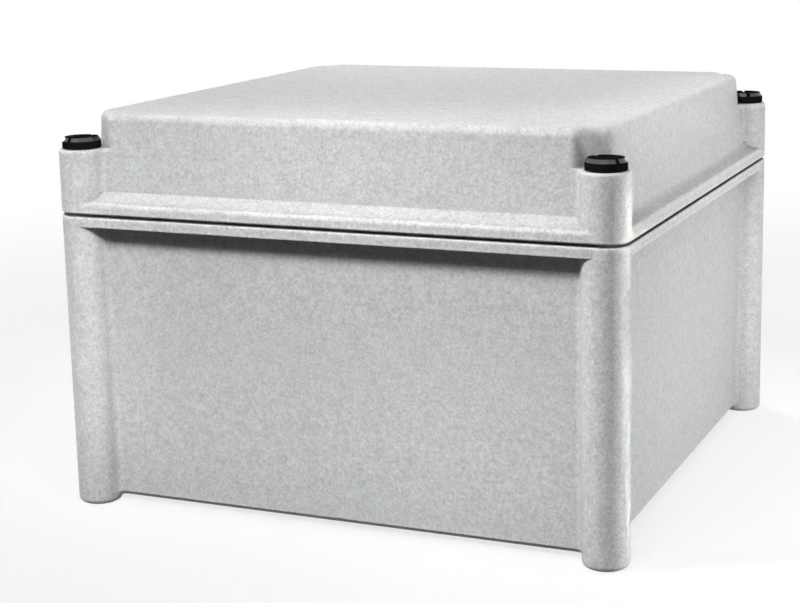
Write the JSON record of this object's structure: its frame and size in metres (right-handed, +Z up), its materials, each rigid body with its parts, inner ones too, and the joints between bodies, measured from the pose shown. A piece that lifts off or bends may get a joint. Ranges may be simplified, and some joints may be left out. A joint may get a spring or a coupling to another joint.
{
  "type": "electrical enclosure",
  "caption": "Light grey glass-fibre polyester box with round corner columns, a raised lift-off lid on captive black-headed screws, and a mounting plate for wiring.",
  "frame": {"origin": "middle of the plan, on the ground under the column feet", "axes": "+Z up through the lid, X along the front, Y from front to back"},
  "size_m": [0.27, 0.27, 0.1836],
  "materials": {
    "grp": "light grey moulded glass-fibre polyester with a fine speckle",
    "black_plastic": "black moulded plastic",
    "rubber": "black sealing rubber",
    "seal_foam": "dark sealing strip",
    "ring_plastic": "natural nylon",
    "brass": "turned brass",
    "screw_steel": "zinc-plated steel",
    "plate_steel": "galvanised sheet steel"
  },
  "bodies": {
    "base": {"base_shell": "grp", "lid_inserts": "brass", "foot_inserts": "brass", "plate_inserts": "brass", "mounting_plate": "plate_steel", "plate_screws": "screw_steel"},
    "lid": {"lid_shell": "grp", "lid_gasket": "seal_foam"},
    "seal_fl": {"screw_seal_fl": "rubber"},
    "screw_fl": {"screw_head_fl": "black_plastic", "screw_stud_fl": "screw_steel", "captive_ring_fl": "ring_plastic"},
    "seal_fr": {"screw_seal_fr": "rubber"},
    "screw_fr": {"screw_head_fr": "black_plastic", "screw_stud_fr": "screw_steel", "captive_ring_fr": "ring_plastic"},
    "seal_rl": {"screw_seal_rl": "rubber"},
    "screw_rl": {"screw_head_rl": "black_plastic", "screw_stud_rl": "screw_steel", "captive_ring_rl": "ring_plastic"},
    "seal_rr": {"screw_seal_rr": "rubber"},
    "screw_rr": {"screw_head_rr": "black_plastic", "screw_stud_rr": "screw_steel", "captive_ring_rr": "ring_plastic"}
  },
  "joints": [
    {"name": "lid_lift", "type": "slide", "parent": "base", "child": "lid", "axis": [0, 0, 1], "range_m": [0, 0.1]},
    {"name": "screw_rise_fl", "type": "slide", "parent": "lid", "child": "seal_fl", "axis": [0, 0, 1], "range_m": [0, 0.01]},
    {"name": "screw_turn_fl", "type": "hinge", "parent": "seal_fl", "child": "screw_fl", "pos_m": [-0.1245, -0.1245, 0.1676], "axis": [0, 0, 1], "range_deg": [0, 3600]},
    {"name": "screw_rise_fr", "type": "slide", "parent": "lid", "child": "seal_fr", "axis": [0, 0, 1], "range_m": [0, 0.01]},
    {"name": "screw_turn_fr", "type": "hinge", "parent": "seal_fr", "child": "screw_fr", "pos_m": [0.1245, -0.1245, 0.1676], "axis": [0, 0, 1], "range_deg": [0, 3600]},
    {"name": "screw_rise_rl", "type": "slide", "parent": "lid", "child": "seal_rl", "axis": [0, 0, 1], "range_m": [0, 0.01]},
    {"name": "screw_turn_rl", "type": "hinge", "parent": "seal_rl", "child": "screw_rl", "pos_m": [-0.1245, 0.1245, 0.1676], "axis": [0, 0, 1], "range_deg": [0, 3600]},
    {"name": "screw_rise_rr", "type": "slide", "parent": "lid", "child": "seal_rr", "axis": [0, 0, 1], "range_m": [0, 0.01]},
    {"name": "screw_turn_rr", "type": "hinge", "parent": "seal_rr", "child": "screw_rr", "pos_m": [0.1245, 0.1245, 0.1676], "axis": [0, 0, 1], "range_deg": [0, 3600]}
  ],
  "couplings": [
    {"joint": "screw_rise_fl", "follows": "screw_turn_fl", "m_per_rad": 0.00015908},
    {"joint": "screw_rise_fr", "follows": "screw_turn_fr", "m_per_rad": 0.00015908},
    {"joint": "screw_rise_rl", "follows": "screw_turn_rl", "m_per_rad": 0.00015908},
    {"joint": "screw_rise_rr", "follows": "screw_turn_rr", "m_per_rad": 0.00015908}
  ]
}
